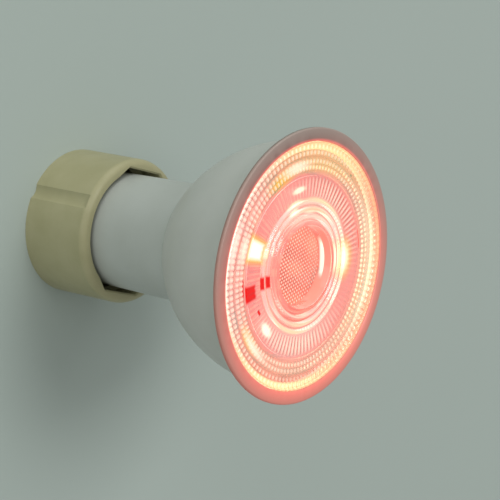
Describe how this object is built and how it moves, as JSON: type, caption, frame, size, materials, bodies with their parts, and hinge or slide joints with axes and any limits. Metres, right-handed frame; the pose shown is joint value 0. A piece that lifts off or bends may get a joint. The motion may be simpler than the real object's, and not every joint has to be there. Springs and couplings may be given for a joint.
{
  "type": "led spotlight bulb in a lampholder",
  "caption": "Reflector-shaped LED spotlight bulb with a ribbed clear front lens, locked by twisting its stepped pins into a short round beige lampholder.",
  "frame": {"origin": "centre of the lampholder's flat back, on the lamp's axis", "axes": "+Z along the lamp's axis from the holder's back to the lens; X through the two contact pins, Y through the two fixing holes"},
  "size_m": [0.05, 0.05, 0.0565],
  "materials": {
    "holder_plastic": "moulded beige thermoset, satin",
    "cover_plastic": "moulded beige thermoset, matt",
    "brass": "rolled strip, bright",
    "steel": "zinc plated",
    "white_plastic": "moulded white, satin",
    "nickel": "nickel plated brass",
    "aluminium": "pressed, as drawn",
    "board_white": "white solder mask",
    "led_body": "moulded package",
    "lens_clear": "clear moulded plate, lit from behind",
    "board_green": "green solder mask",
    "wire_tin": "tinned copper wire",
    "resistor_blue": "fired coating",
    "can_sleeve": "shrink sleeve",
    "film_box": "potted box",
    "ferrite": "sintered, matt",
    "copper": "enamelled wire",
    "chip_black": "moulded epoxy",
    "tin_can": "tinned sheet"
  },
  "bodies": {
    "lampholder": {"holder_body": "holder_plastic", "holder_cover": "cover_plastic", "contact_spring_left": "brass", "contact_spring_right": "brass", "cover_screws": "steel"},
    "bulb": {"neck_housing": "white_plastic", "contact_pin_left": "nickel", "contact_pin_right": "nickel", "bowl_shell": "white_plastic", "heat_sink": "aluminium", "led_board": "board_white", "colour_leds": "led_body", "white_leds": "led_body", "led_board_screws": "steel", "lens": "lens_clear", "driver_board": "board_green", "input_lead": "wire_tin", "fuse_lead": "wire_tin", "fuse_resistor": "resistor_blue", "main_capacitor": "can_sleeve", "filter_capacitor": "film_box", "choke_core": "ferrite", "choke_winding": "copper", "bridge_rectifier": "chip_black", "driver_chip": "chip_black", "control_module": "board_green", "module_shield": "tin_can"}
  },
  "joints": [
    {"name": "bulb_twist", "type": "hinge", "parent": "lampholder", "child": "bulb", "pos_m": [0, 0, 0], "axis": [0, 0, 1], "range_deg": [0, 30]}
  ]
}
